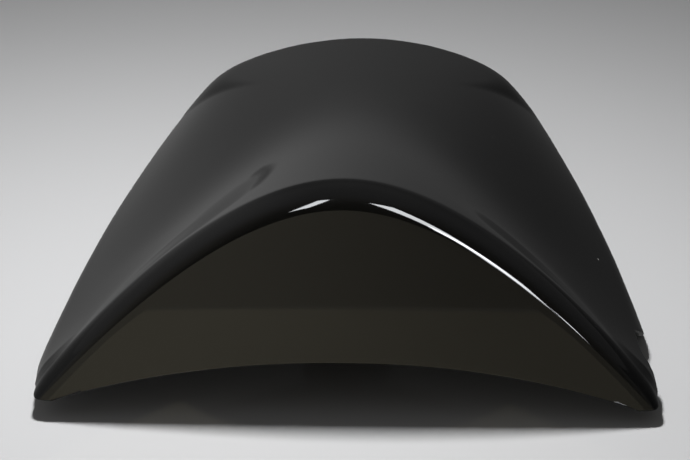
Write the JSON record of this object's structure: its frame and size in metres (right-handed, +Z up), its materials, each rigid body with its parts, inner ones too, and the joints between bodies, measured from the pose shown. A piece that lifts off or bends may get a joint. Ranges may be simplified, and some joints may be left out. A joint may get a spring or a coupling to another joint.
{
  "type": "seat cowl",
  "caption": "Gloss black moulded seat cowl for a motorcycle tail: gabled front wall, ramp and sloping deck, rounded tail, lock notch in one flank, latch striker and tongue underneath.",
  "frame": {"origin": "under the middle of the overall box, on the plane of the lower rim and of the buffers' feet", "axes": "+Y back towards the rounded tail, +X to the side with the lock notch, +Z up"},
  "size_m": [0.2823, 0.3695, 0.1052],
  "materials": {
    "gloss_black_plastic": "gloss",
    "zinc_steel": "satin",
    "black_steel": "satin",
    "brass": "satin",
    "black_rubber": "matte"
  },
  "bodies": {
    "root": {"cowl_shell": "gloss_black_plastic", "latch_bracket": "zinc_steel", "latch_screws": "black_steel", "threaded_inserts": "brass", "rubber_buffer_front_left": "black_rubber", "rubber_buffer_front_right": "black_rubber", "rubber_buffer_rear_left": "black_rubber", "rubber_buffer_rear_right": "black_rubber"}
  },
  "joints": []
}
